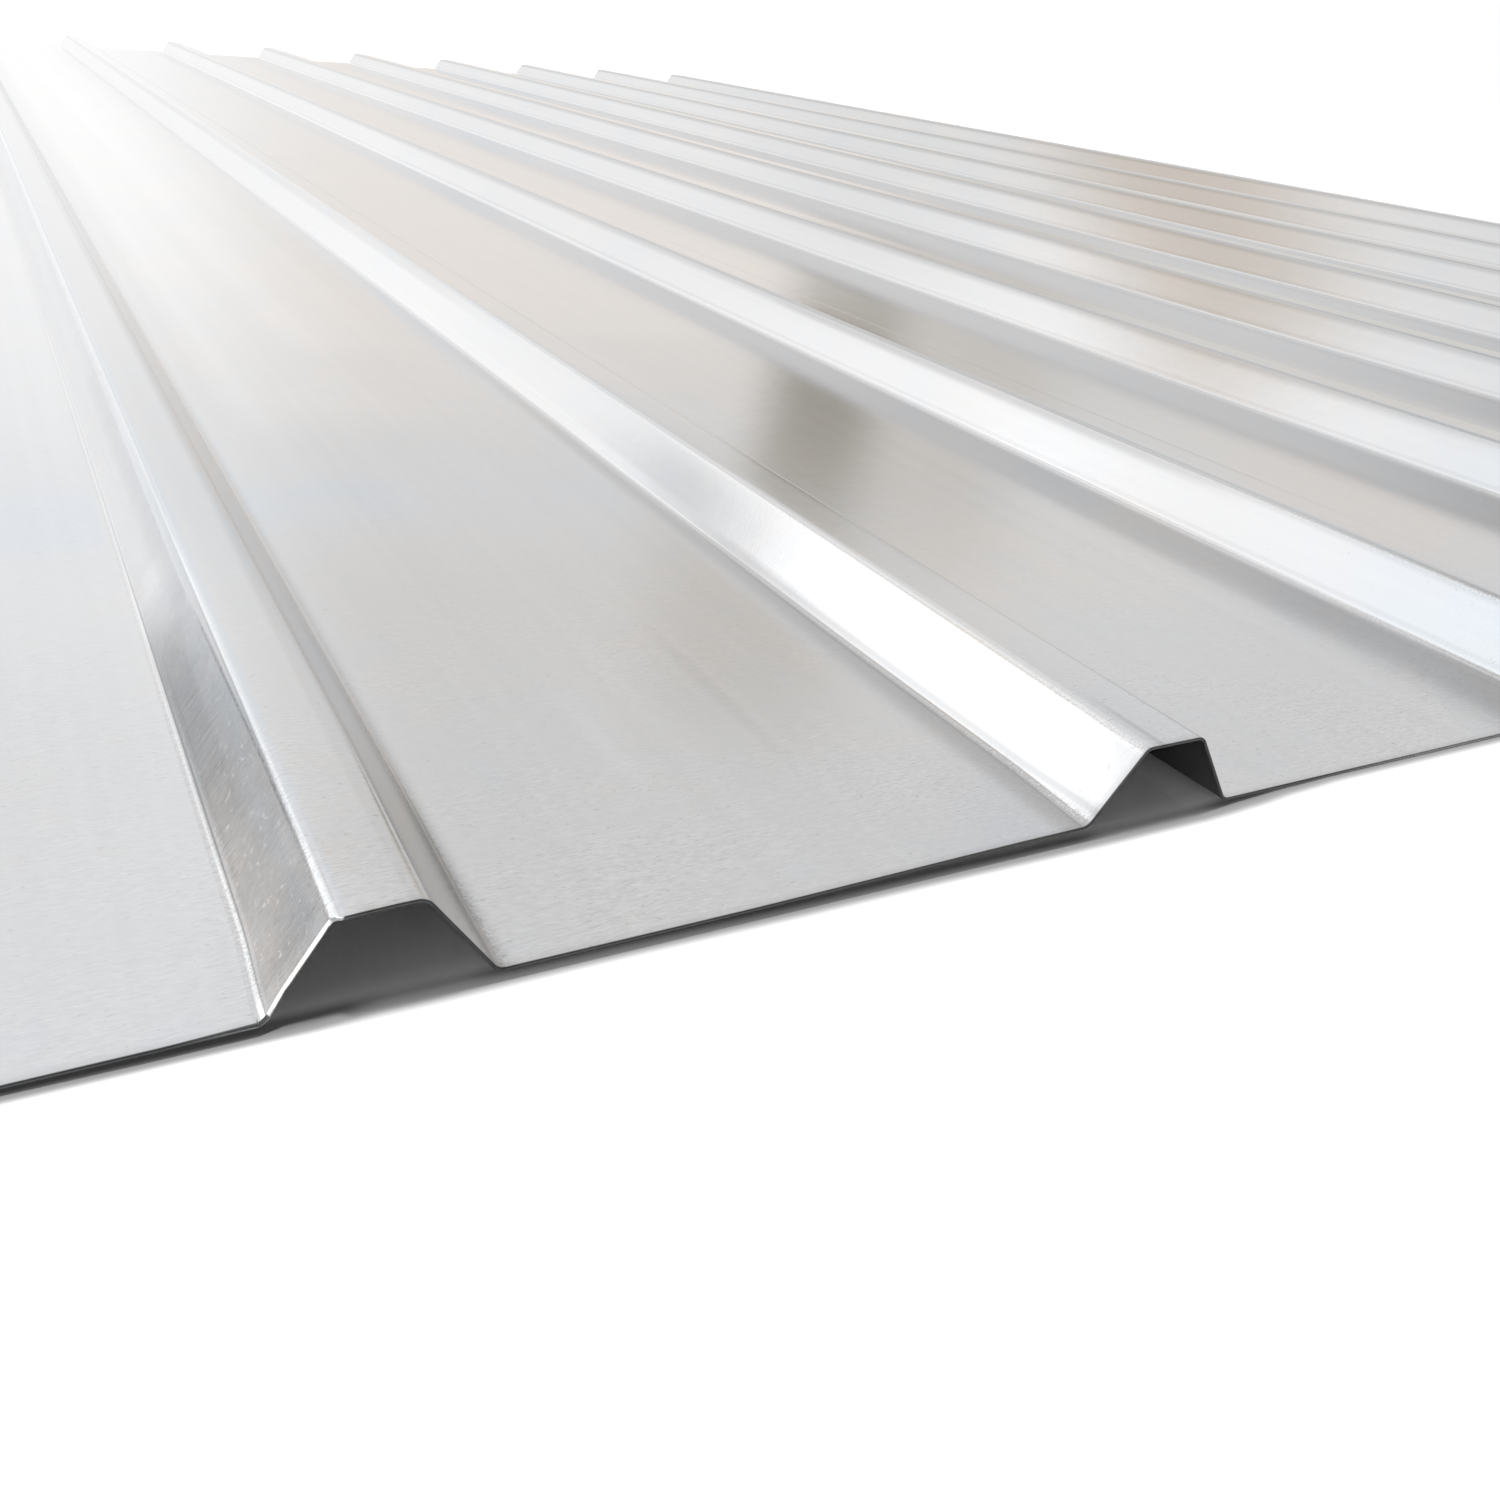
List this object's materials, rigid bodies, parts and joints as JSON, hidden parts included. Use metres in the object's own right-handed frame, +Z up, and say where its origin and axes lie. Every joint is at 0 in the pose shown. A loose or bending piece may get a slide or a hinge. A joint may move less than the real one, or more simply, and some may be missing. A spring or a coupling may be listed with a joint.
{
  "type": "corrugated metal sheet",
  "caption": "Zinc-coated steel sheet roll formed with low trapezoidal ribs and wide flat pans, for roofs, walls and fences.",
  "frame": {"origin": "on the floor under the middle of the sheet, at the underside of the middle pan", "axes": "+Y along the ribs, +X across them, +Z up out of the face that the ribs stand on"},
  "size_m": [1.1174, 2, 0.0132],
  "materials": {
    "zinc_coated_steel": "bright zinc coating with fine roll marks"
  },
  "bodies": {
    "root": {"profiled_sheet": "zinc_coated_steel"}
  },
  "joints": []
}
